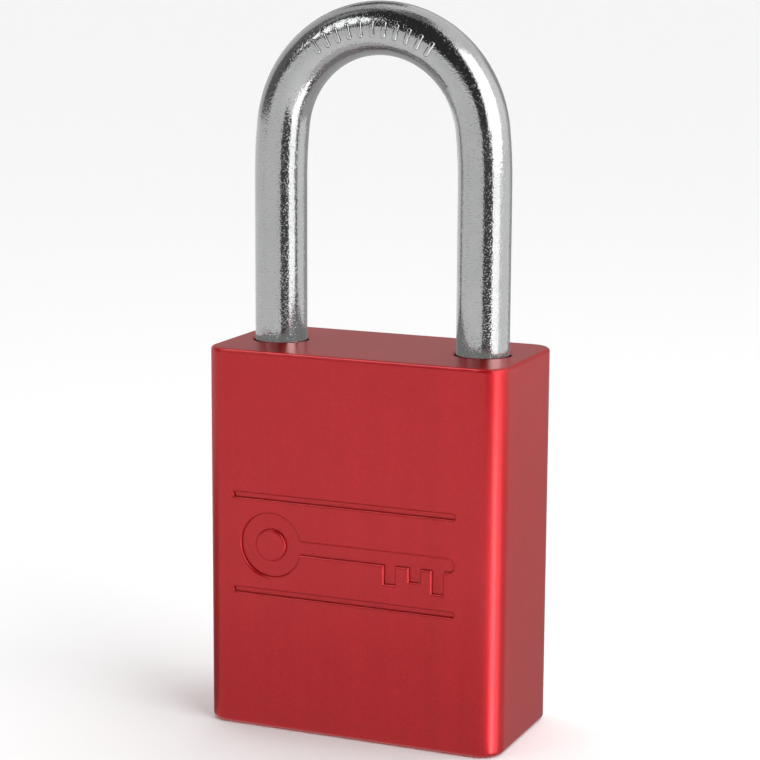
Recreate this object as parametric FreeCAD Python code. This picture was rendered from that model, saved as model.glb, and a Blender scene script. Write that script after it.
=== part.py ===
import FreeCAD, Part
import math
import os

# Keyed safety padlock, closed and unlocked, in millimetres.
# Frame: origin at the centre of the body's bottom face, +Z up along the shackle legs,
# +X towards the toe leg, -Y is the front face with the emblem.
# A pin-tumbler cylinder fills the lower bore. Its plug turns an actuator above it,
# and the actuator's cam holds two steel balls in the shackle's notches.

V = FreeCAD.Vector
X_DIR = V(1, 0, 0)
Y_DIR = V(0, 1, 0)
Z_DIR = V(0, 0, 1)
ORIGIN = V(0, 0, 0)
OVER = 1.0        # how far a cutting solid runs past the face it opens
SAME = 1e-4       # two positions closer than this are the same

# ---- body block -------------------------------------------------------------
BODY_W = 38.1
BODY_D = 19.05
BODY_H = 46.5
CORNER_R = 2.8
TOP_EDGE_R = 0.45
BOTTOM_EDGE_R = 0.6

# ---- shackle ----------------------------------------------------------------
ROD_R = 3.175
LEG_X = 13.175
LEG_HOLE_R = 3.425
LEG_HOLE_BREAK = 0.2
SPRINGING_Z = 66.4
CROWN_RISE = 18.0
CROWN_R = 12.9
HEEL_END_Z = 19.4
HEEL_HOLE_FLOOR_Z = 7.5
TOE_END_Z = 33.7
TOE_HOLE_FLOOR_Z = 33.2
HEEL_CHAMFER = 0.6
TOE_CHAMFER = 0.8
LIFT = 13.4

# ---- locking balls ----------------------------------------------------------
BALL_R = 3.175
BALL_Z = 38.3
BALL_LOCKED_X = 8.125
TOE_BALL_X = 6.725
HEEL_BALL_X = 7.425
BALL_BORE_R = 3.25
NOTCH_R = 3.3
NOTCH_DEPTH = 1.4
NECK_R = 2.475
NECK_Z = (22.8, 40.4)

# ---- actuator ---------------------------------------------------------------
CAM_R = 4.92
CAM_EDGE_BREAK = 0.3
CAM_BORE_R = 5.05
CAM_BORE_TOP_Z = 41.9
ACTUATOR_Z = (26.2, 41.6)
FLANGE_R = 6.2
FLANGE_TOP_Z = 27.4
FLANGE_BORE_R = 6.6
FLANGE_BORE_TOP_Z = 27.6
POCKET_FLOOR_Z = 34.8
BALL_PLAY = 0.03
TURN_DEG = 90.0
CAM_CURVE_POINTS = 13

# ---- key cylinder -----------------------------------------------------------
SHELL_R = 6.5
SHELL_Z = (0.35, 24.0)
SHELL_EDGE_BREAK = 0.2
TAIL_HALF_W = 3.3
TAIL_END_X = 15.6
TAIL_CORNER_R = 0.8
SHELL_PLAY = 0.05
PLUG_R = 5.0
PLUG_BORE_R = 5.03
PLUG_HEAD_R = 5.6
PLUG_HEAD_H = 1.15
PLUG_HEAD_BORE_R = 5.65
PLUG_HEAD_BORE_H = 1.25
PLUG_EDGE_BREAK = 0.25
PLUG_TOP_Z = 25.8
TANG_TOP_Z = 28.2
TANG_W = 3.0
TANG_L = 7.0
TANG_PLAY = 0.1
TANG_END_PLAY = 0.3
CLIP_GROOVE_R = 4.2
CLIP_GROOVE_Z = (24.15, 24.95)
CLIP_INNER_R = 4.25
CLIP_OUTER_R = 6.0
CLIP_Z = (24.2, 24.9)
CLIP_GAP_W = 5.2
KEYWAY_TOP_Z = 23.6
KEYWAY_HALF_W = 1.1
KEYWAY_X = (-4.2, 3.6)

# ---- pin stacks -------------------------------------------------------------
PIN_COUNT = 5
PIN_FIRST_Z = 4.6
PIN_PITCH = 3.9
PIN_R = 1.4
PIN_EDGE_BREAK = 0.1
CHAMBER_R = 1.45
PIN_BORE_DEPTH = 5.9
KEY_PIN_OUTER_X = 4.78
KEY_PIN_LENGTHS = (4.2, 5.1, 3.9, 5.6, 4.6)
KEY_PIN_TIP_R = 0.35
KEY_PIN_CONE_L = 1.1
PIN_GROOVE_DEPTH = 0.12
PIN_GROOVE_W = 0.25
PIN_GROOVE_PITCH = 0.8
DRIVER_X = (5.05, 9.65)
SPOOL_END_L = 1.2
SPOOL_TAPER_L = 0.3
SPOOL_WAIST_R = 1.0
COVER_X = (14.9, 15.6)
COVER_HALF_W = 2.0
COVER_FROM_Z = 2.6
COVER_PLAY = 0.03
PIN_SPRING_R = 1.3
PIN_SPRING_WIRE_R = 0.15
PIN_SPRING_TURNS = 7
SHACKLE_SPRING_R = 2.8
SHACKLE_SPRING_WIRE_R = 0.325
SHACKLE_SPRING_TURNS = 12

# ---- cylinder screw ---------------------------------------------------------
SCREW_CREST_R = 1.95
SCREW_ROOT_R = 1.6
SCREW_THREAD_PITCH = 0.7
SCREW_CREST_SHARE = 0.2
SCREW_THREAD_Z = (26.2, 32.6)
SCREW_HOLE_R = 2.0
SCREW_HOLE_FROM_Z = 26.0
SCREW_TIP_R = 1.5
SCREW_TIP_BREAK = 0.4
SCREW_TIP_Z = 22.2
SCREW_TIP_HOLE_R = 1.65
SCREW_POCKET_R = 1.6
SCREW_POCKET_Z = 22.0
SCREW_HEX_ACROSS = 2.0
SCREW_HEX_DEPTH = 2.0

# ---- emblem on the front face, a key between two rules ------------------------
EMBLEM_X = -0.8
EMBLEM_Z = 22.9
EMBLEM_DEPTH = 0.4
EMBLEM_EDGE_R = 0.3
RULE_W = 28.6
RULE_H = 0.6
RULE_OFFSET = 5.9
BOW_R = 3.9
BOW_HOLE_R = 2.0
BOW_OFFSET = -9.4
SHAFT_H = 1.6
SHAFT_END = 13.4
BIT_W = 1.4
BIT_PLACES_AND_DROPS = ((6.1, 2.3), (9.3, 1.7), (12.2, 2.8))

# ---- raised marks on the crown ------------------------------------------------
MARK_COUNT = 11
MARK_SPAN_DEG = 68.0
MARK_MARGIN_DEG = 4.0
MARK_W = 0.6
MARK_L = 2.0
MARK_CORNER_R = 0.25
MARK_PROUD = 0.25
MARK_EDGE_R = 0.18


def cylinder(radius, z_low, z_high, x=0.0, y=0.0):
    return Part.makeCylinder(radius, z_high - z_low, V(x, y, z_low), Z_DIR)


def block(x_low, x_high, y_low, y_high, z_low, z_high):
    return Part.makeBox(x_high - x_low, y_high - y_low, z_high - z_low, V(x_low, y_low, z_low))


def ring(outer_r, inner_r, z_low, z_high, x=0.0):
    return cylinder(outer_r, z_low, z_high, x).cut(cylinder(inner_r, z_low - OVER, z_high + OVER, x))


def fused(shapes):
    return shapes[0].fuse(shapes[1:]).removeSplitter()


def turned(outline, axis_dir):
    """Solid of revolution about an axis through the origin, of an outline given as points."""
    face = Part.Face(Part.makePolygon(list(outline) + [outline[0]]))
    return face.revolve(ORIGIN, axis_dir, 360.0)


def prism(points, z_low, z_high):
    """Straight prism between two heights over a closed XY outline."""
    corners = [V(x, y, z_low) for x, y in points]
    face = Part.Face(Part.makePolygon(corners + [corners[0]]))
    return face.extrude(V(0, 0, z_high - z_low))


def polar(radius, angle_deg):
    angle = math.radians(angle_deg)
    return V(radius * math.cos(angle), radius * math.sin(angle), 0)


def edges_where(shape, keep):
    return [edge for edge in shape.Edges if keep(edge.BoundBox)]


def lies_at_z(box, z):
    return abs(box.ZMin - z) < SAME and abs(box.ZMax - z) < SAME


def is_vertical(box):
    return box.XLength < SAME and box.YLength < SAME and box.ZLength > SAME


def pin_heights():
    return [PIN_FIRST_Z + PIN_PITCH * index for index in range(PIN_COUNT)]


def in_plug_rest_turn(shape):
    """The plug is drawn with its pin bores along +X and rests a quarter turn before that."""
    rested = shape.copy()
    rested.rotate(ORIGIN, Z_DIR, -TURN_DEG)
    return rested


def coil(outer_r, wire_r, turns, length):
    """Round-wire helical spring that stands on Z = 0 and is `length` high."""
    mean_r = outer_r - wire_r
    rise = length - 2 * wire_r
    pitch = rise / turns
    path = Part.makeHelix(pitch, rise, mean_r)
    tangent = V(0, 2 * math.pi * mean_r, pitch)
    section = Part.Wire([Part.makeCircle(wire_r, V(mean_r, 0, 0), tangent)])
    spring = Part.Wire(path.Edges).makePipeShell([section], True, True)
    spring.translate(V(0, 0, wire_r))
    return spring


# ---- body block -------------------------------------------------------------
def teardrop(play, z_low, z_high):
    """Round barrel with a straight-sided tail along +X, the outside of the key cylinder."""
    half_w = TAIL_HALF_W + play
    tail = block(0, TAIL_END_X + play, -half_w, half_w, z_low, z_high)
    end_edges = edges_where(tail, lambda box: is_vertical(box) and box.XMin > SHELL_R)
    tail = tail.makeFillet(TAIL_CORNER_R + play, end_edges)
    return fused([cylinder(SHELL_R + play, z_low, z_high), tail])


def emblem_bar(x_low, x_high, z_low, z_high):
    front_y = -BODY_D / 2
    return block(EMBLEM_X + x_low, EMBLEM_X + x_high, front_y - OVER, front_y + EMBLEM_DEPTH,
                 EMBLEM_Z + z_low, EMBLEM_Z + z_high)


def emblem_disc(radius, x, z):
    start = V(EMBLEM_X + x, -BODY_D / 2 - OVER, EMBLEM_Z + z)
    return Part.makeCylinder(radius, EMBLEM_DEPTH + OVER, start, Y_DIR)


def emblem_rule(z):
    """Thin bar with round ends."""
    half = (RULE_W - RULE_H) / 2
    bar = emblem_bar(-half, half, z - RULE_H / 2, z + RULE_H / 2)
    return fused([bar] + [emblem_disc(RULE_H / 2, end * half, z) for end in (-1, 1)])


def emblem_key():
    """Round bow with a hole, straight shaft and three bits."""
    shaft = emblem_bar(BOW_OFFSET, SHAFT_END, -SHAFT_H / 2, SHAFT_H / 2)
    pieces = [shaft, emblem_disc(BOW_R, BOW_OFFSET, 0), emblem_disc(SHAFT_H / 2, SHAFT_END, 0)]
    for x, drop in BIT_PLACES_AND_DROPS:
        pieces.append(emblem_bar(x - BIT_W / 2, x + BIT_W / 2, -SHAFT_H / 2 - drop, 0))
    return fused(pieces).cut(emblem_disc(BOW_HOLE_R, BOW_OFFSET, 0))


def is_emblem_rim(box):
    """True of an edge on the front face, inside the face's own outline."""
    on_front = abs(box.YMin + BODY_D / 2) < SAME and abs(box.YMax + BODY_D / 2) < SAME
    within_width = max(-box.XMin, box.XMax) < BODY_W / 2 - CORNER_R - SAME
    return on_front and within_width and box.ZMin > OVER and box.ZMax < BODY_H - OVER


def body_block():
    solid = block(-BODY_W / 2, BODY_W / 2, -BODY_D / 2, BODY_D / 2, 0, BODY_H)
    solid = solid.makeFillet(CORNER_R, edges_where(solid, is_vertical))
    solid = solid.makeFillet(TOP_EDGE_R, edges_where(solid, lambda box: lies_at_z(box, BODY_H)))
    solid = solid.makeFillet(BOTTOM_EDGE_R, edges_where(solid, lambda box: lies_at_z(box, 0)))

    cuts = [teardrop(SHELL_PLAY, -OVER, SHELL_Z[1] + SHELL_PLAY)]
    cuts.append(cylinder(FLANGE_BORE_R, SHELL_Z[1], FLANGE_BORE_TOP_Z))
    cuts.append(cylinder(CAM_BORE_R, FLANGE_BORE_TOP_Z - OVER, CAM_BORE_TOP_Z))
    for x, floor_z in ((-LEG_X, HEEL_HOLE_FLOOR_Z), (LEG_X, TOE_HOLE_FLOOR_Z)):
        cuts.append(cylinder(LEG_HOLE_R, floor_z, BODY_H + OVER, x))
        cuts.append(Part.makeCone(LEG_HOLE_R, LEG_HOLE_R + LEG_HOLE_BREAK, LEG_HOLE_BREAK,
                                  V(x, 0, BODY_H - LEG_HOLE_BREAK), Z_DIR))
    cuts.append(Part.makeCylinder(BALL_BORE_R, 2 * LEG_X, V(-LEG_X, 0, BALL_Z), X_DIR))
    cuts.append(cylinder(SCREW_HOLE_R, SCREW_HOLE_FROM_Z, TOE_HOLE_FLOOR_Z + OVER, LEG_X))
    cuts.append(cylinder(SCREW_TIP_HOLE_R, SHELL_Z[1], SCREW_HOLE_FROM_Z + OVER, LEG_X))
    cuts += [emblem_rule(-RULE_OFFSET), emblem_key(), emblem_rule(RULE_OFFSET)]
    solid = solid.cut(cuts)
    return solid.makeFillet(EMBLEM_EDGE_R, edges_where(solid, is_emblem_rim))


# ---- shackle ----------------------------------------------------------------
def arch_piece(centre_x, centre_z, radius, from_deg, to_deg, rod_r):
    """Part of a ring of round rod in the XZ plane; angles are from +X towards +Z."""
    start = math.radians(from_deg)
    at = V(centre_x + radius * math.cos(start), 0, centre_z + radius * math.sin(start))
    tangent = V(-math.sin(start), 0, math.cos(start))
    face = Part.Face(Part.Wire([Part.makeCircle(rod_r, at, tangent)]))
    return face.revolve(V(centre_x, 0, centre_z), -Y_DIR, to_deg - from_deg)


def crown_marks(crown_z):
    """Small raised bars across the front and back of the crown, following its round surface."""
    half_span = MARK_SPAN_DEG / 2 + MARK_MARGIN_DEG
    skin = arch_piece(0, crown_z, CROWN_R, 90 - half_span, 90 + half_span, ROD_R + MARK_PROUD)
    top_z = crown_z + CROWN_R
    bars = []
    for index in range(MARK_COUNT):
        bar = block(-MARK_W / 2, MARK_W / 2, -2 * ROD_R, 2 * ROD_R, top_z - MARK_L / 2, top_z + MARK_L / 2)
        bar = bar.makeFillet(MARK_CORNER_R, edges_where(bar, lambda box: box.YLength > ROD_R))
        bar.rotate(V(0, 0, crown_z), Y_DIR, MARK_SPAN_DEG * (index / (MARK_COUNT - 1) - 0.5))
        bar = bar.common(skin)
        rims = [edge for face in bar.Faces if isinstance(face.Surface, Part.Toroid) for edge in face.Edges]
        bars.append(bar.makeFillet(MARK_EDGE_R, rims))
    return bars


def heel_neck():
    """Ring of metal turned away so that the heel ball runs along the leg as it rises."""
    return ring(ROD_R + OVER, NECK_R, NECK_Z[0], NECK_Z[1], -LEG_X)


def heel_groove():
    """Deeper ring groove that faces the heel ball when the shackle is fully raised."""
    return Part.makeTorus(ROD_R - NOTCH_DEPTH + NOTCH_R, NOTCH_R, V(-LEG_X, 0, BALL_Z - LIFT), Z_DIR)


def ball_notch(side):
    """Crosswise round notch on the inner side of a leg, facing its ball."""
    x = side * (LEG_X - ROD_R + NOTCH_DEPTH - NOTCH_R)
    return Part.makeCylinder(NOTCH_R, 4 * ROD_R, V(x, -2 * ROD_R, BALL_Z), Y_DIR)


def shackle():
    crown_z = SPRINGING_Z + CROWN_RISE - CROWN_R
    crown_up = crown_z - SPRINGING_Z
    # The long shoulder arcs start vertical at the legs and run tangent into the tighter crown arc.
    shoulder_r = (LEG_X ** 2 + crown_up ** 2 - CROWN_R ** 2) / (2 * (LEG_X - CROWN_R))
    shoulder_x = shoulder_r - LEG_X
    join_deg = math.degrees(math.atan2(crown_up, shoulder_x))

    rod = [cylinder(ROD_R, HEEL_END_Z, SPRINGING_Z, -LEG_X)]
    rod.append(cylinder(ROD_R, TOE_END_Z, SPRINGING_Z, LEG_X))
    rod.append(arch_piece(-shoulder_x, SPRINGING_Z, shoulder_r, 0, join_deg, ROD_R))
    rod.append(arch_piece(0, crown_z, CROWN_R, join_deg, 180 - join_deg, ROD_R))
    rod.append(arch_piece(shoulder_x, SPRINGING_Z, shoulder_r, 180 - join_deg, 180, ROD_R))
    whole = fused(rod)
    for end_z, size in ((HEEL_END_Z, HEEL_CHAMFER), (TOE_END_Z, TOE_CHAMFER)):
        whole = whole.makeChamfer(size, edges_where(whole, lambda box: lies_at_z(box, end_z)))
    whole = whole.cut([heel_neck(), heel_groove(), ball_notch(-1), ball_notch(1)])
    return fused([whole] + crown_marks(crown_z))


def shackle_spring():
    spring = coil(SHACKLE_SPRING_R, SHACKLE_SPRING_WIRE_R, SHACKLE_SPRING_TURNS,
                  HEEL_END_Z - HEEL_HOLE_FLOOR_Z)
    spring.translate(V(-LEG_X, 0, HEEL_HOLE_FLOOR_Z))
    return spring


# ---- locking balls and actuator ---------------------------------------------
def ball(x):
    return Part.makeSphere(BALL_R, V(x, 0, BALL_Z))


def cam_relief(rest_x, first_deg):
    """Space that a ball sweeps in the turning actuator, from its pocket out to the locked radius.

    Seen from the actuator the ball's centre goes backwards round the axis while it moves out in
    proportion, and the cam surface is that path offset inwards by the ball's radius and its play.
    """
    reach = BALL_R + BALL_PLAY
    travel = BALL_LOCKED_X - rest_x
    out_per_rad = travel / math.radians(TURN_DEG)
    surface = []
    for step in range(CAM_CURVE_POINTS):
        share = step / (CAM_CURVE_POINTS - 1)
        angle = first_deg - TURN_DEG * share
        radius = rest_x + travel * share
        normal = polar(radius, angle) + polar(out_per_rad, angle + 90)
        surface.append(polar(radius, angle) - normal.normalize() * reach)
    curve = Part.BSplineCurve()
    curve.interpolate(surface)
    far_r = 2 * BALL_LOCKED_X
    corners = [surface[-1], polar(far_r, first_deg - TURN_DEG), polar(1.5 * far_r, first_deg - TURN_DEG / 2),
               polar(far_r, first_deg), surface[0]]
    sides = [Part.makeLine(a, b) for a, b in zip(corners, corners[1:])]
    height = ACTUATOR_Z[1] + OVER - POCKET_FLOOR_Z
    sweep = Part.Face(Part.Wire([curve.toShape()] + sides)).extrude(V(0, 0, height))
    sweep.translate(V(0, 0, POCKET_FLOOR_Z))
    at_rest = polar(rest_x, first_deg)
    return [sweep, cylinder(reach, POCKET_FLOOR_Z, POCKET_FLOOR_Z + height, at_rest.x, at_rest.y)]


def actuator():
    shaft = cylinder(CAM_R, ACTUATOR_Z[0], ACTUATOR_Z[1])
    top_edge = edges_where(shaft, lambda box: lies_at_z(box, ACTUATOR_Z[1]))
    shaft = shaft.makeChamfer(CAM_EDGE_BREAK, top_edge)
    flange = cylinder(FLANGE_R, ACTUATOR_Z[0], FLANGE_TOP_Z)
    half_w = TANG_W / 2 + TANG_PLAY
    half_l = TANG_L / 2 + TANG_PLAY
    slot = block(-half_l, half_l, -half_w, half_w, ACTUATOR_Z[0] - OVER, TANG_TOP_Z + TANG_END_PLAY)
    cuts = cam_relief(TOE_BALL_X, 0.0) + cam_relief(HEEL_BALL_X, 180.0) + [in_plug_rest_turn(slot)]
    return fused([shaft, flange]).cut(cuts)


# ---- key cylinder -----------------------------------------------------------
def cylinder_shell():
    shell = teardrop(0.0, SHELL_Z[0], SHELL_Z[1])
    shell = shell.makeChamfer(SHELL_EDGE_BREAK, edges_where(shell, lambda box: lies_at_z(box, SHELL_Z[0])))
    cuts = [cylinder(PLUG_BORE_R, SHELL_Z[0] - OVER, SHELL_Z[1] + OVER)]
    cuts.append(cylinder(PLUG_HEAD_BORE_R, SHELL_Z[0] - OVER, SHELL_Z[0] + PLUG_HEAD_BORE_H))
    for z in pin_heights():
        cuts.append(Part.makeCylinder(CHAMBER_R, COVER_X[1] - PLUG_R / 2, V(PLUG_R / 2, 0, z), X_DIR))
    cuts.append(block(COVER_X[0], TAIL_END_X + OVER, -COVER_HALF_W, COVER_HALF_W,
                      COVER_FROM_Z, SHELL_Z[1] + OVER))
    cuts.append(cylinder(SCREW_POCKET_R, SCREW_POCKET_Z, SHELL_Z[1] + OVER, LEG_X))
    return shell.cut(cuts)


def keyway():
    """Blade slot with wards on both sides, blind at the plug's inner end."""
    half_w = KEYWAY_HALF_W
    low_x, high_x = KEYWAY_X
    outline = ((low_x, -half_w), (-1.9, -half_w), (-1.9, -0.35), (-0.9, -0.35), (-0.9, -half_w),
               (high_x, -half_w), (high_x, half_w), (1.7, half_w), (1.7, 0.45), (0.7, 0.45),
               (0.7, half_w), (-2.6, half_w), (-2.6, 0.55), (low_x, 0.55))
    return prism(outline, SHELL_Z[0] - OVER, KEYWAY_TOP_Z)


def key_plug():
    barrel = cylinder(PLUG_R, SHELL_Z[0], PLUG_TOP_Z)
    head = cylinder(PLUG_HEAD_R, SHELL_Z[0], SHELL_Z[0] + PLUG_HEAD_H)
    tang = block(-TANG_L / 2, TANG_L / 2, -TANG_W / 2, TANG_W / 2, PLUG_TOP_Z, TANG_TOP_Z)
    plug = fused([barrel, head, tang])
    plug = plug.makeChamfer(PLUG_EDGE_BREAK, edges_where(plug, lambda box: lies_at_z(box, SHELL_Z[0])))
    cuts = [ring(PLUG_R + OVER, CLIP_GROOVE_R, CLIP_GROOVE_Z[0], CLIP_GROOVE_Z[1]), keyway()]
    for z in pin_heights():
        start = V(PLUG_R - PIN_BORE_DEPTH, 0, z)
        cuts.append(Part.makeCylinder(CHAMBER_R, PIN_BORE_DEPTH + OVER, start, X_DIR))
    return in_plug_rest_turn(plug.cut(cuts))


def plug_clip():
    gap = block(-CLIP_OUTER_R - OVER, 0, -CLIP_GAP_W / 2, CLIP_GAP_W / 2, CLIP_Z[0] - OVER, CLIP_Z[1] + OVER)
    clip = ring(CLIP_OUTER_R, CLIP_INNER_R, CLIP_Z[0], CLIP_Z[1]).cut(gap)
    return in_plug_rest_turn(clip)


def key_pin(length, z):
    """Brass bottom pin: flat outer end, two shallow grooves, blunt cone that rides the key."""
    inner = KEY_PIN_OUTER_X - length
    groove_r = PIN_R - PIN_GROOVE_DEPTH
    cone_end = inner + KEY_PIN_CONE_L
    outline = [(inner, 0), (inner, KEY_PIN_TIP_R), (cone_end, PIN_R)]
    for count in range(2):
        low = cone_end + PIN_GROOVE_PITCH * count + 2 * PIN_GROOVE_W
        high = low + PIN_GROOVE_W
        outline += [(low, PIN_R), (low, groove_r), (high, groove_r), (high, PIN_R)]
    outline += [(KEY_PIN_OUTER_X - PIN_EDGE_BREAK, PIN_R), (KEY_PIN_OUTER_X, PIN_R - PIN_EDGE_BREAK),
                (KEY_PIN_OUTER_X, 0)]
    pin = turned([V(x, r, 0) for x, r in outline], X_DIR)
    pin.translate(V(0, 0, z))
    return in_plug_rest_turn(pin)


def driver_pin(z):
    """Spool-shaped top pin between the plug and its spring."""
    half = (DRIVER_X[1] - DRIVER_X[0]) / 2
    mid_x = DRIVER_X[0] + half
    quarter = ((half, 0), (half, PIN_R - PIN_EDGE_BREAK), (half - PIN_EDGE_BREAK, PIN_R),
               (half - SPOOL_END_L, PIN_R), (half - SPOOL_END_L - SPOOL_TAPER_L, SPOOL_WAIST_R))
    outline = [V(mid_x - x, r, 0) for x, r in quarter] + [V(mid_x + x, r, 0) for x, r in reversed(quarter)]
    pin = turned(outline, X_DIR)
    pin.translate(V(0, 0, z))
    return pin


def pin_spring(z):
    spring = coil(PIN_SPRING_R, PIN_SPRING_WIRE_R, PIN_SPRING_TURNS, COVER_X[0] - DRIVER_X[1])
    spring.rotate(ORIGIN, Y_DIR, 90.0)
    spring.translate(V(DRIVER_X[1], 0, z))
    return spring


def chamber_cover():
    half_w = COVER_HALF_W - COVER_PLAY
    return block(COVER_X[0], COVER_X[1], -half_w, half_w, COVER_FROM_Z + COVER_PLAY, SHELL_Z[1])


def cylinder_screw():
    """Set screw reached through the toe hole; its plain tip sits in the cylinder's tail."""
    low, high = SCREW_THREAD_Z
    outline = [(0, SCREW_TIP_Z), (SCREW_TIP_R - SCREW_TIP_BREAK, SCREW_TIP_Z),
               (SCREW_TIP_R, SCREW_TIP_Z + SCREW_TIP_BREAK), (SCREW_TIP_R, low), (SCREW_ROOT_R, low)]
    half_crest = SCREW_CREST_SHARE * SCREW_THREAD_PITCH / 2
    for turn in range(int((high - low) / SCREW_THREAD_PITCH)):
        ring_low = low + turn * SCREW_THREAD_PITCH
        ring_mid = ring_low + SCREW_THREAD_PITCH / 2
        outline += [(SCREW_CREST_R, ring_mid - half_crest), (SCREW_CREST_R, ring_mid + half_crest),
                    (SCREW_ROOT_R, ring_low + SCREW_THREAD_PITCH)]
    outline += [(SCREW_ROOT_R, high), (0, high)]
    screw = turned([V(r, 0, z) for r, z in outline], Z_DIR)
    hexagon = [polar(SCREW_HEX_ACROSS / math.sqrt(3.0), 60 * corner) for corner in range(6)]
    screw = screw.cut(prism([(p.x, p.y) for p in hexagon], high - SCREW_HEX_DEPTH, high + OVER))
    screw.translate(V(LEG_X, 0, 0))
    return screw


def all_pieces():
    pieces = {
        "body_block": body_block(),
        "shackle": shackle(),
        "shackle_spring": shackle_spring(),
        "heel_ball": ball(-HEEL_BALL_X),
        "toe_ball": ball(TOE_BALL_X),
        "actuator": actuator(),
        "cylinder_shell": cylinder_shell(),
        "key_plug": key_plug(),
        "plug_clip": plug_clip(),
        "chamber_cover": chamber_cover(),
        "cylinder_screw": cylinder_screw(),
    }
    for number, (z, length) in enumerate(zip(pin_heights(), KEY_PIN_LENGTHS), start=1):
        pieces[f"key_pin_{number}"] = key_pin(length, z)
        pieces[f"driver_pin_{number}"] = driver_pin(z)
        pieces[f"pin_spring_{number}"] = pin_spring(z)
    return pieces


os.makedirs("parts", exist_ok=True)
for name, shape in all_pieces().items():
    (solid,) = shape.Solids
    solid.exportStep(f"parts/{name}.step")
    print(name, "valid" if solid.isValid() else "INVALID", round(solid.Volume, 3), "mm3")
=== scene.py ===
import math

import bpy
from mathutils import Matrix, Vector


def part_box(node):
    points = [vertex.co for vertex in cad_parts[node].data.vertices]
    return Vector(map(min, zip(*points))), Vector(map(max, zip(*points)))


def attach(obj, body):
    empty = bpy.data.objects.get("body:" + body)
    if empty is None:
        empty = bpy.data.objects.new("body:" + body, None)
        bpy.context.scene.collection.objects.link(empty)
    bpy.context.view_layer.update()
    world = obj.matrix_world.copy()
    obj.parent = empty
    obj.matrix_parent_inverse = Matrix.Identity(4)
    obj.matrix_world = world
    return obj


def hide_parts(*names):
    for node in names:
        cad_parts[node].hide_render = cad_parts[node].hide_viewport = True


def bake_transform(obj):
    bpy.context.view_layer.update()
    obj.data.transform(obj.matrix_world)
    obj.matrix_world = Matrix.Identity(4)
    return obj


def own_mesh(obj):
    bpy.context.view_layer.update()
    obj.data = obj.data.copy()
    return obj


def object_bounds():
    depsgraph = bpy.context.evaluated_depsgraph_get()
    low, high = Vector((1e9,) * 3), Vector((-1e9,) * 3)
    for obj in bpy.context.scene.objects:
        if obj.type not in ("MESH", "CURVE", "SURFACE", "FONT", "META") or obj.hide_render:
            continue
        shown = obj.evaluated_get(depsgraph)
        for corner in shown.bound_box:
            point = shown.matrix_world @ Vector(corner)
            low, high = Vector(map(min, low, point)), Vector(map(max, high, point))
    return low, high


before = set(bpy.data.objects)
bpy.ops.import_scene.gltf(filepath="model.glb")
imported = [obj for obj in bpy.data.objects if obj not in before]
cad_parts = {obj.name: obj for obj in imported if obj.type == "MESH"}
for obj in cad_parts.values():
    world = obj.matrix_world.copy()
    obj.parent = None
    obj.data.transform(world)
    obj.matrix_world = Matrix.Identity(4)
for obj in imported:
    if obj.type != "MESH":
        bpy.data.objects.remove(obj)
CAD_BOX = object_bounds()
scene = bpy.context.scene

# ---- camera and set, in metres (the lens and sensor in mm) and degrees -------
# Azimuths are around the padlock: 0 is in front of it, towards -Y, and 90 is towards +X.
CAMERA_TARGET = Vector((0.0001, -0.0003, 0.0424))
CAMERA_AZIMUTH = 23.1
CAMERA_ELEVATION = 10.74
CAMERA_ROLL = 0.31
CAMERA_DISTANCE = 0.2832
CAMERA_LENS_MM = 111.3
SENSOR_MM = 36.0
FLOOR_RADIUS = 4.6
FLOOR_GAP = 0.0001      # keeps the floor off the body's bottom face, which would flicker through it
BACKDROP_RADIUS = 4.4   # inside what every view's camera reaches
BACKDROP_RADIANCE = 0.95


def direction(azimuth, elevation):
    """Unit vector from the padlock towards that azimuth and elevation."""
    az, el = math.radians(azimuth), math.radians(elevation)
    return Vector((math.sin(az) * math.cos(el), -math.cos(az) * math.cos(el), math.sin(el)))


def add_camera():
    """Camera at the photograph's angle. It stands far back with a long lens."""
    data = bpy.data.cameras.new("camera")
    data.lens = CAMERA_LENS_MM
    data.sensor_width = SENSOR_MM
    data.clip_start = 0.01
    camera = bpy.data.objects.new("camera", data)
    scene.collection.objects.link(camera)
    backwards = direction(CAMERA_AZIMUTH, CAMERA_ELEVATION)
    camera.matrix_world = backwards.to_track_quat("Z", "Y").to_matrix().to_4x4()
    camera.rotation_euler.rotate_axis("Z", math.radians(CAMERA_ROLL))
    camera.location = CAMERA_TARGET + backwards * CAMERA_DISTANCE
    scene.camera = camera


# ---- small helpers for node materials ----------------------------------------
MICRON = 0.000001


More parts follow.
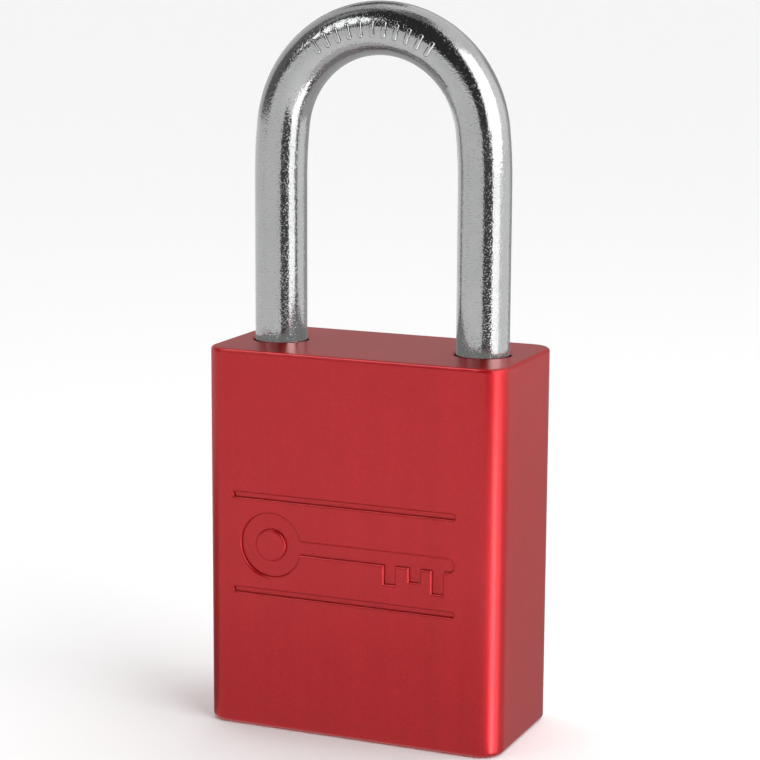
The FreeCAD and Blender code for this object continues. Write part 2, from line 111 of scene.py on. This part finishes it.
class Surface:
    """One Principled material whose colour, roughness and bump come from object coordinates."""

    def __init__(self, name):
        self.material = bpy.data.materials.new(name)
        self.material.use_nodes = True
        self.tree = self.material.node_tree
        self.shader = next(n for n in self.tree.nodes if n.type == "BSDF_PRINCIPLED")
        self.place = self.tree.nodes.new("ShaderNodeTexCoord").outputs["Object"]

    def fixed(self, **values):
        """Sets the shader's own sockets, named with _ for each space."""
        for socket, value in values.items():
            self.shader.inputs[socket.replace("_", " ")].default_value = value
        return self

    def link(self, output, socket):
        self.tree.links.new(output, socket)

    def stretched(self, scale, turn=(0, 0, 0)):
        """Object coordinates scaled along each axis, to draw a pattern out into streaks, and turned."""
        node = self.tree.nodes.new("ShaderNodeMapping")
        node.inputs["Scale"].default_value = scale
        node.inputs["Rotation"].default_value = [math.radians(angle) for angle in turn]
        self.link(self.place, node.inputs["Vector"])
        return node.outputs["Vector"]

    def noise(self, scale, detail=2.0, roughness=0.5, place=None, distortion=0.0):
        node = self.tree.nodes.new("ShaderNodeTexNoise")
        node.inputs["Scale"].default_value = scale
        node.inputs["Detail"].default_value = detail
        node.inputs["Roughness"].default_value = roughness
        node.inputs["Distortion"].default_value = distortion
        self.link(place or self.place, node.inputs["Vector"])
        return node.outputs["Fac"]

    def rings(self, per_metre, axis):
        """Tool marks that repeat along an axis."""
        node = self.tree.nodes.new("ShaderNodeTexWave")
        node.wave_type = "BANDS"
        node.bands_direction = axis
        node.inputs["Scale"].default_value = per_metre
        node.inputs["Distortion"].default_value = 1.5
        node.inputs["Detail"].default_value = 2.0
        self.link(self.place, node.inputs["Vector"])
        return node.outputs["Fac"]

    def spread(self, value, low, high, from_low=0.0, from_high=1.0):
        """A 0 to 1 value mapped onto another range."""
        node = self.tree.nodes.new("ShaderNodeMapRange")
        node.inputs["From Min"].default_value = from_low
        node.inputs["From Max"].default_value = from_high
        node.inputs["To Min"].default_value = low
        node.inputs["To Max"].default_value = high
        self.link(value, node.inputs["Value"])
        return node.outputs["Result"]

    def mixed(self, value, low_colour, high_colour):
        node = self.tree.nodes.new("ShaderNodeMix")
        node.data_type = "RGBA"
        self.link(value, node.inputs["Factor"])
        node.inputs["A"].default_value = (*low_colour, 1.0)
        node.inputs["B"].default_value = (*high_colour, 1.0)
        return node.outputs["Result"]

    def combined(self, operation, a, b):
        node = self.tree.nodes.new("ShaderNodeMath")
        node.operation = operation
        for value, socket in ((a, node.inputs[0]), (b, node.inputs[1])):
            if isinstance(value, (int, float)):
                socket.default_value = value
            else:
                self.link(value, socket)
        return node.outputs["Value"]

    def colour(self, output):
        self.link(output, self.shader.inputs["Base Color"])
        return self

    def roughness(self, output):
        self.link(output, self.shader.inputs["Roughness"])
        return self

    def bump(self, *layers):
        """Each layer is (height output, depth in microns)."""
        previous = None
        for height, depth in layers:
            node = self.tree.nodes.new("ShaderNodeBump")
            node.inputs["Strength"].default_value = 1.0
            node.inputs["Distance"].default_value = depth * MICRON
            self.link(height, node.inputs["Height"])
            if previous is not None:
                self.link(previous, node.inputs["Normal"])
            previous = node.outputs["Normal"]
        self.link(previous, self.shader.inputs["Normal"])
        return self


# ---- materials ---------------------------------------------------------------
def anodised_red():
    """Satin anodised aluminium: fine blasted grain, faint upright streaks and bands, and a clear gloss."""
    s = Surface("anodised_red")
    grain = s.noise(5200, detail=3.0, roughness=0.6)
    cloud = s.noise(140, detail=3.0)
    streaks = s.noise(1.0, detail=4.0, place=s.stretched((2600, 2600, 70)))
    bands = s.noise(1.0, detail=2.0, place=s.stretched((420, 420, 9)))
    tone = s.combined("ADD", s.spread(cloud, 0.0, 0.35), s.spread(streaks, 0.0, 0.20))
    tone = s.combined("ADD", tone, s.spread(bands, 0.0, 0.18, 0.3, 0.7))
    tone = s.combined("ADD", tone, s.spread(grain, -0.25, 0.45, 0.25, 0.75))
    s.colour(s.mixed(tone, (0.42, 0.003, 0.007), (0.60, 0.009, 0.018)))
    s.roughness(s.combined("ADD", s.spread(grain, 0.42, 0.52), s.spread(streaks, -0.03, 0.03)))
    s.bump((grain, 24), (streaks, 2))
    s.fixed(Metallic=1.0, Specular_Tint=(0.74, 0.07, 0.09, 1.0))
    return s.fixed(Coat_Weight=0.75, Coat_Roughness=0.26, Coat_IOR=1.5).material


def plated_steel():
    """Bright plating with a soft ripple, shallow pits and a few fine specks."""
    s = Surface("plated_steel")
    askew = s.stretched((1, 1, 1), turn=(37, 24, 51))
    ripple = s.noise(450, detail=1.0, place=askew)
    pits = s.noise(4000, detail=0.5, place=askew, distortion=0.4)
    specks = s.spread(s.noise(5200, detail=0.0, place=askew), 0.0, 1.0, 0.58, 0.72)
    stain = s.noise(260, detail=4.0, roughness=0.6)
    s.colour(s.mixed(stain, (0.38, 0.385, 0.39), (0.48, 0.48, 0.48)))
    s.roughness(s.combined("ADD", s.spread(stain, 0.07, 0.14), s.spread(pits, -0.03, 0.05)))
    s.bump((ripple, 5), (pits, 12), (specks, 7))
    return s.fixed(Metallic=1.0).material


def machined_metal(name, low, high, roughness, axis, marks_per_metre=1500):
    """Machined metal with fine tool marks that repeat along an axis."""
    s = Surface(name)
    marks = s.rings(marks_per_metre, axis)
    stain = s.noise(900, detail=3.0)
    grain = s.noise(9000, detail=2.0)
    s.colour(s.mixed(stain, low, high))
    worn = s.spread(stain, roughness - 0.05, roughness + 0.06)
    s.roughness(s.combined("ADD", worn, s.spread(grain, -0.02, 0.02)))
    s.bump((marks, 1.5), (grain, 1))
    return s.fixed(Metallic=1.0).material


def drawn_wire():
    """Spring and clip wire with fine drawing marks."""
    s = Surface("spring_wire")
    grain = s.noise(6000, detail=3.0)
    stain = s.noise(1200, detail=3.0)
    s.colour(s.mixed(stain, (0.36, 0.36, 0.38), (0.58, 0.58, 0.60)))
    s.roughness(s.spread(grain, 0.22, 0.38))
    s.bump((grain, 2))
    return s.fixed(Metallic=1.0).material


def polished_ball():
    """Hardened ball with hairline scratches."""
    s = Surface("ball_steel")
    stain = s.noise(700, detail=3.0)
    scratches = s.noise(1.0, detail=3.0, place=s.stretched((9000, 900, 4000)))
    s.colour(s.mixed(stain, (0.66, 0.66, 0.68), (0.78, 0.78, 0.80)))
    s.roughness(s.spread(scratches, 0.05, 0.14))
    s.bump((scratches, 0.6))
    return s.fixed(Metallic=1.0).material


def sintered_steel():
    """Matt pressed-powder steel with open pores."""
    s = Surface("sintered_steel")
    pores = s.noise(7000, detail=4.0, roughness=0.65)
    stain = s.noise(400, detail=3.0)
    s.colour(s.mixed(stain, (0.20, 0.20, 0.21), (0.34, 0.34, 0.35)))
    s.roughness(s.spread(pores, 0.38, 0.60))
    s.bump((pores, 8))
    return s.fixed(Metallic=1.0).material


def black_oxide():
    """Blackened screw steel."""
    s = Surface("black_oxide")
    stain = s.noise(900, detail=4.0)
    grain = s.noise(8000, detail=2.0)
    s.colour(s.mixed(stain, (0.018, 0.018, 0.020), (0.055, 0.052, 0.050)))
    s.roughness(s.spread(grain, 0.34, 0.50))
    s.bump((grain, 2))
    return s.fixed(Metallic=0.9).material


def dress(material, *prefixes):
    """Gives a material to every CAD node whose name starts with one of the prefixes."""
    for name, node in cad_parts.items():
        if name.startswith(prefixes):
            node.data.materials.clear()
            node.data.materials.append(material)


def dress_all(wire):
    """Every CAD node's material. Where two prefixes fit a node, the later one counts."""
    nickel_low, nickel_high = (0.50, 0.47, 0.39), (0.66, 0.62, 0.53)
    brass_low, brass_high = (0.56, 0.38, 0.13), (0.78, 0.56, 0.22)
    dress(anodised_red(), "body_block")
    dress(plated_steel(), "shackle")
    dress(wire, "shackle_spring", "pin_spring", "plug_clip")
    dress(polished_ball(), "heel_ball", "toe_ball")
    dress(sintered_steel(), "actuator")
    dress(machined_metal("nickel_shell", nickel_low, nickel_high, 0.30, "Z"), "cylinder_shell")
    dress(machined_metal("nickel_plug", nickel_low, nickel_high, 0.24, "Z"), "key_plug")
    dress(machined_metal("brass_pin", brass_low, brass_high, 0.24, "Y"), "key_pin")
    dress(machined_metal("nickel_pin", nickel_low, nickel_high, 0.22, "X"), "driver_pin")
    dress(machined_metal("brass_strip", brass_low, brass_high, 0.32, "Y", 3000), "chamber_cover")
    dress(black_oxide(), "cylinder_screw")


# ---- springs -----------------------------------------------------------------
# The CAD coils are rigid. These stand for them.
PIN_COUNT = 5
COIL_STEPS = 24         # rings of points in a turn
WIRE_SIDES = 12
WIRE_RADIUS = {"pin": 0.00015, "shackle": 0.000325}
COIL_TURNS = {"pin": 7, "shackle": 12}
CLOSED_PITCH = 2.04     # of an end turn, in wire radii
SLOPE_STEP = 0.01       # of a turn, either side, to find how steeply the wire climbs


def coil(name, node, axis, kind, wire):
    """Wire coil that fills a CAD node's box, wound about X or Z, with its end turns closed up."""
    low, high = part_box(node)
    about = "XYZ".index(axis)
    across = (about + 1) % 3
    radius = WIRE_RADIUS[kind]
    coil_radius = (high[across] - low[across]) / 2 - radius
    height = high[about] - low[about] - 2 * radius
    middle = (low + high) / 2

    def placed(local):
        """From the coil's own axes, where it winds about the third, to the padlock's."""
        return middle + Vector(local[(k - about - 1) % 3] for k in range(3))

    rings = coil_rings(COIL_TURNS[kind], coil_radius, height, radius)
    mesh = tube_mesh(name, [placed(point) for ring in rings for point in ring])
    mesh.materials.append(wire)
    piece = bpy.data.objects.new(name, mesh)
    scene.collection.objects.link(piece)
    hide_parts(node)
    return piece, low, high


def coil_rings(turns, coil_radius, height, radius):
    """Rings of points around a helix about Z, centred on the origin."""
    end_pitch = CLOSED_PITCH * radius
    pitch = (height - 2 * end_pitch) / (turns - 2)

    def rise(turn):
        return (end_pitch * min(turn, 1) + pitch * min(max(turn - 1, 0), turns - 2)
                + end_pitch * max(turn - turns + 1, 0) - height / 2)

    for step in range(turns * COIL_STEPS + 1):
        turn = step / COIL_STEPS
        angle = 2 * math.pi * turn
        outward = Vector((math.cos(angle), math.sin(angle), 0))
        slope = (rise(turn + SLOPE_STEP) - rise(turn - SLOPE_STEP)) / (4 * math.pi * SLOPE_STEP)
        along = Vector((-coil_radius * outward.y, coil_radius * outward.x, slope))
        upward = outward.cross(along).normalized()
        centre = coil_radius * outward + Vector((0, 0, rise(turn)))
        ring = []
        for side in range(WIRE_SIDES):
            around = 2 * math.pi * side / WIRE_SIDES
            ring.append(centre + radius * (math.cos(around) * outward + math.sin(around) * upward))
        yield ring


def tube_mesh(name, points):
    """Closed tube over rings of WIRE_SIDES points, smooth along its sides and flat at its ends."""
    faces = []
    for start in range(0, len(points) - WIRE_SIDES, WIRE_SIDES):
        for side in range(WIRE_SIDES):
            beside = start + (side + 1) % WIRE_SIDES
            faces.append((start + side, start + WIRE_SIDES + side, beside + WIRE_SIDES, beside))
    sides = len(faces)
    faces.append(tuple(range(WIRE_SIDES)))
    faces.append(tuple(reversed(range(len(points) - WIRE_SIDES, len(points)))))
    mesh = bpy.data.meshes.new(name)
    mesh.from_pydata(points, [], faces)
    mesh.polygons.foreach_set("use_smooth", [index < sides for index in range(len(faces))])
    return mesh


def add_springs(wire):
    """Pin coils carried by the lock body, and a shackle coil, in place of the CAD coils."""
    for number in range(1, PIN_COUNT + 1):
        piece, low, high = coil(f"pin_coil_{number}", f"pin_spring_{number}", "X", "pin", wire)
        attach(piece, "lock_body")
        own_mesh(piece)
    piece, low, high = coil("shackle_coil", "shackle_spring", "Z", "shackle", wire)
    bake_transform(piece)


# ---- studio: floor, sky panels, cards and lights -----------------------------
# Each panel is (lowest and highest azimuth, lowest and highest elevation, softness, radiance).
# Later panels lie over earlier ones.
SKY_LEVEL = 1.0
SKY_PANELS = (
    (-132, -94, -5, 74, 8, 0.70),    # left wall
    (92, 142, -5, 42, 10, 1.25),     # right wall, lit by the key box
    (-96, -56, 0, 78, 6, 0.18),      # hood, left part
    (-60, 52, 8, 78, 6, 0.045),      # hood over the camera
    (-60, -44, -1, 12, 4, 0.15),     # hood's lower left corner
    (10, 54, -4, 14, 4, 0.06),       # hood's lower right corner
    (-79, -65, 40, 60, 7, 0.55),     # gap in the hood
    (-52, -28, 17, 41, 4, 2.4),      # small window box
    (-162, -132, 32, 54, 7, 0.12),   # dark doorway behind
    (150, 300, -6, 27, 8, 0.45),     # low wall behind, right half
    (-300, -138, -6, 27, 8, 0.45),   # low wall behind, left half
    (-300, 300, 78, 120, 8, 0.20),   # ceiling
)
FLOOR_COLOUR = (0.93, 0.93, 0.93)
OVERHEAD_IRRADIANCE = 1.4
OVERHEAD_SPREAD = 120
OVERHEAD_FROM = (190, 62)

# Each is (name, azimuths, lowest and highest elevation, radiance), on a sphere around the shackle.
CARD_CENTRE = Vector((0.0, 0.0, 0.068))
CARD_RADIUS = 0.20
CURVED_CARDS = (
    ("key_foot", (57, 88), (-18, -2.5), 2.0),
    ("right_card", (88, 142), (-18, -2.5), 1.15),
    ("camera_flag", (19, 57), (-18, 3), 0.09),
    ("back_card", (146, 215), (-16, 2), 0.50),
    ("left_card", (-125, -62), (-14, 2), 0.95),
)

# Each is (name, azimuths, inner and outer distance, radiance, foot), a sector of the floor around its foot.
# These are painted light and painted shade on the floor: each glows brighter or darker than the floor, and
# only the metal's reflections see it.
# A card with a higher foot lies over the others.
MIDDLE_FOOT = (0, 0, -0.00006)
BACK_LEFT_FOOT = (-0.019, 0.0095, -0.00004)
CORNER_FOOT = (0.0175, -0.0085, -0.00002)
GLINT_FOOT = (0.0175, -0.0085, -0.00001)
TABLE_CARDS = (
    # Painted shade: darker floor next to the padlock, to its left and behind it.
    ("front_table_card", (-66, 64), (0.002, 0.060), 0.74, MIDDLE_FOOT),
    ("left_table_card", (-150, -67), (0.002, 0.16), 0.26, MIDDLE_FOOT),
    ("back_table_card", (65, 209), (0.002, 0.25), 0.58, MIDDLE_FOOT),
    ("back_left_table_card", (180, 260), (0.0005, 0.25), 0.58, BACK_LEFT_FOOT),
    # Painted light: the key box's pool of light on the floor by the right front corner, and a brighter
    # painted glint inside it.
    ("corner_table_card", (48, 104), (0.002, 0.24), 2.0, CORNER_FOOT),
    ("glint_table_card", (58, 77), (0.002, 0.24), 5.6, GLINT_FOOT),
)
CARD_STEPS = 24


def plain(name, colour):
    """Matt paint of one colour, for the floor."""
    return Surface(name).fixed(Base_Color=(*colour, 1.0), Roughness=0.9, Specular_IOR_Level=0.1).material


def add_floor():
    bpy.ops.mesh.primitive_circle_add(vertices=96, radius=FLOOR_RADIUS, fill_type="NGON")
    floor = bpy.context.object
    floor.name = "floor"
    floor.location.z = -FLOOR_GAP
    floor.data.materials.append(plain("floor_paint", FLOOR_COLOUR))


def add_backdrop():
    """Plain pale dome that only the camera sees, so that the light panels behind it don't show."""
    bpy.ops.mesh.primitive_uv_sphere_add(segments=64, ring_count=32, radius=BACKDROP_RADIUS)
    dome = bpy.context.object
    dome.name = "backdrop"
    dome.data.materials.append(glowing("backdrop_paint", BACKDROP_RADIANCE))
    only_seen_by(dome, camera=True)


def add_sky():
    """World light in soft-edged panels, by azimuth and elevation around the padlock."""
    world = bpy.data.worlds.new("studio")
    world.use_nodes = True
    tree = world.node_tree

    def math_node(operation, a, b=None):
        node = tree.nodes.new("ShaderNodeMath")
        node.operation = operation
        for value, socket in zip((a, b), node.inputs):
            if isinstance(value, (int, float)):
                socket.default_value = value
            elif value is not None:
                tree.links.new(value, socket)
        return node.outputs["Value"]

    def step(value, start, end):
        node = tree.nodes.new("ShaderNodeMapRange")
        node.interpolation_type = "SMOOTHSTEP"
        node.inputs["From Min"].default_value = math.radians(start)
        node.inputs["From Max"].default_value = math.radians(end)
        tree.links.new(value, node.inputs["Value"])
        return node.outputs["Result"]

    def window(value, low, high, soft):
        rise = step(value, low - soft / 2, low + soft / 2)
        fall = step(value, high - soft / 2, high + soft / 2)
        return math_node("SUBTRACT", rise, fall)

    split = tree.nodes.new("ShaderNodeSeparateXYZ")
    tree.links.new(tree.nodes.new("ShaderNodeTexCoord").outputs["Generated"], split.inputs["Vector"])
    x, y, z = split.outputs
    azimuth = math_node("ARCTAN2", x, math_node("MULTIPLY", y, -1.0))
    elevation = math_node("ARCSINE", z)
    level = SKY_LEVEL
    for az_low, az_high, el_low, el_high, soft, radiance in SKY_PANELS:
        mask = math_node("MULTIPLY", window(azimuth, az_low, az_high, soft),
                         window(elevation, el_low, el_high, soft))
        change = math_node("MULTIPLY", mask, math_node("SUBTRACT", radiance, level))
        level = math_node("ADD", level, change)
    background = tree.nodes["Background"]
    background.inputs["Color"].default_value = (1.0, 1.0, 1.0, 1.0)
    tree.links.new(level, background.inputs["Strength"])
    scene.world = world


def even_azimuths(azimuths):
    """Azimuths in even steps from the first to the last."""
    first, last = azimuths
    return [first + (last - first) * step / CARD_STEPS for step in range(CARD_STEPS + 1)]


def curved_card(name, azimuths, elevations, radiance):
    """Panel on a sphere around the shackle. Only the metal's reflections see it."""
    rows = [CARD_CENTRE + direction(azimuth, elevation) * CARD_RADIUS
            for elevation in elevations for azimuth in even_azimuths(azimuths)]
    glossy_card(name, rows, CARD_STEPS, radiance)


def table_card(name, azimuths, distances, radiance, foot):
    """Flat sector lying on the floor around a point: painted light where it glows brighter than the floor,
    painted shade where it glows darker. Only the metal's reflections see it.
    """
    rows = [direction(azimuth, 0) * distance + Vector(foot)
            for distance in distances for azimuth in even_azimuths(azimuths)]
    glossy_card(name, rows, CARD_STEPS, radiance)


def top_card(name, radiance, inset=0.0012, lift=0.00002):
    """Grey glowing card over the body's top face, a painted reflection that shows in the shackle where the
    top's red would. Only reflections from above see it.
    """
    low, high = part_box("body_block")
    xs, ys, z = (low.x + inset, high.x - inset), (low.y + inset, high.y - inset), high.z + lift
    glossy_card(name, [(x, y, z) for y in ys for x in xs], 1, radiance, one_sided=True)


def glossy_card(name, points, steps, radiance, one_sided=False):
    """Strip of faces between two rows of points, steps faces long, that glows evenly in reflections."""
    faces = [(i, i + 1, steps + 2 + i, steps + 1 + i) for i in range(steps)]
    mesh = bpy.data.meshes.new(name)
    mesh.from_pydata(points, [], faces)
    mesh.materials.append(glowing(name + "_paint", radiance, one_sided))
    card = bpy.data.objects.new(name, mesh)
    scene.collection.objects.link(card)
    only_seen_by(card, reflections=True)


def glowing(name, radiance, one_sided=False):
    """Evenly glowing paint. One-sided paint is clear from behind."""
    paint = bpy.data.materials.new(name)
    paint.use_nodes = True
    nodes, links = paint.node_tree.nodes, paint.node_tree.links
    glow = nodes.new("ShaderNodeEmission")
    glow.inputs["Strength"].default_value = radiance
    surface = glow.outputs["Emission"]
    if one_sided:
        sides = nodes.new("ShaderNodeMixShader")
        links.new(nodes.new("ShaderNodeNewGeometry").outputs["Backfacing"], sides.inputs["Fac"])
        links.new(surface, sides.inputs[1])
        links.new(nodes.new("ShaderNodeBsdfTransparent").outputs["BSDF"], sides.inputs[2])
        surface = sides.outputs["Shader"]
    output = next(n for n in nodes if n.type == "OUTPUT_MATERIAL")
    links.new(surface, output.inputs["Surface"])
    return paint


def only_seen_by(thing, camera=False, reflections=False):
    """Keeps a thing out of the light, the shadows and all sight but the one named."""
    thing.visible_camera = camera
    thing.visible_glossy = reflections
    thing.visible_diffuse = False
    thing.visible_transmission = False
    thing.visible_shadow = False


def area_light(name, place, shining, width, height, radiance):
    """Light panel of even radiance. shining is the way that it faces."""
    data = bpy.data.lights.new(name, "AREA")
    data.shape = "RECTANGLE"
    data.size = width
    data.size_y = height
    data.energy = radiance * math.pi * width * height
    light = bpy.data.objects.new(name, data)
    scene.collection.objects.link(light)
    light.location = place
    light.rotation_euler = shining.to_track_quat("-Z", "Y").to_euler()
    light.visible_camera = False
    return light


def softbox(name, azimuth, distance, low_z, high_z, width, radiance):
    """Upright light panel that faces the padlock."""
    outward = direction(azimuth, 0)
    place = outward * distance + Vector((0, 0, (low_z + high_z) / 2))
    area_light(name, place, -outward, width, high_z - low_z, radiance)


def edge_box(name, azimuth, elevation, distance, size, radiance):
    """Square light panel that only the body takes light from, to catch the tops of its rounded edges."""
    outward = direction(azimuth, elevation)
    place = outward * distance + Vector((0, 0, CAD_BOX[1].z / 2))
    light = area_light(name, place, -outward, size, size, radiance)
    lit = bpy.data.collections.new(name + "_lit")
    lit.objects.link(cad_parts["body_block"])
    light.light_linking.receiver_collection = lit


def overhead():
    """Very soft light from above for the floor. The metal doesn't mirror it."""
    data = bpy.data.lights.new("overhead", "SUN")
    data.energy = OVERHEAD_IRRADIANCE
    data.angle = math.radians(OVERHEAD_SPREAD)
    light = bpy.data.objects.new("overhead", data)
    scene.collection.objects.link(light)
    light.rotation_euler = (-direction(*OVERHEAD_FROM)).to_track_quat("-Z", "Y").to_euler()
    light.visible_glossy = False


def add_studio():
    add_floor()
    add_backdrop()
    add_sky()
    overhead()
    softbox("key_box", azimuth=73, distance=0.25, low_z=0.060, high_z=0.42, width=0.26, radiance=2.1)
    edge_box("edge_box", azimuth=-64, elevation=65, distance=0.30, size=0.12, radiance=4.5)
    for card in CURVED_CARDS:
        curved_card(*card)
    # Painted reflection: grey in place of the body top's red, in the shackle.
    top_card("body_top_painted_reflection", radiance=0.32)
    for card in TABLE_CARDS:
        table_card(*card)


scene.view_settings.view_transform = "Standard"
spring_wire = drawn_wire()
add_camera()
dress_all(spring_wire)
add_springs(spring_wire)
add_studio()
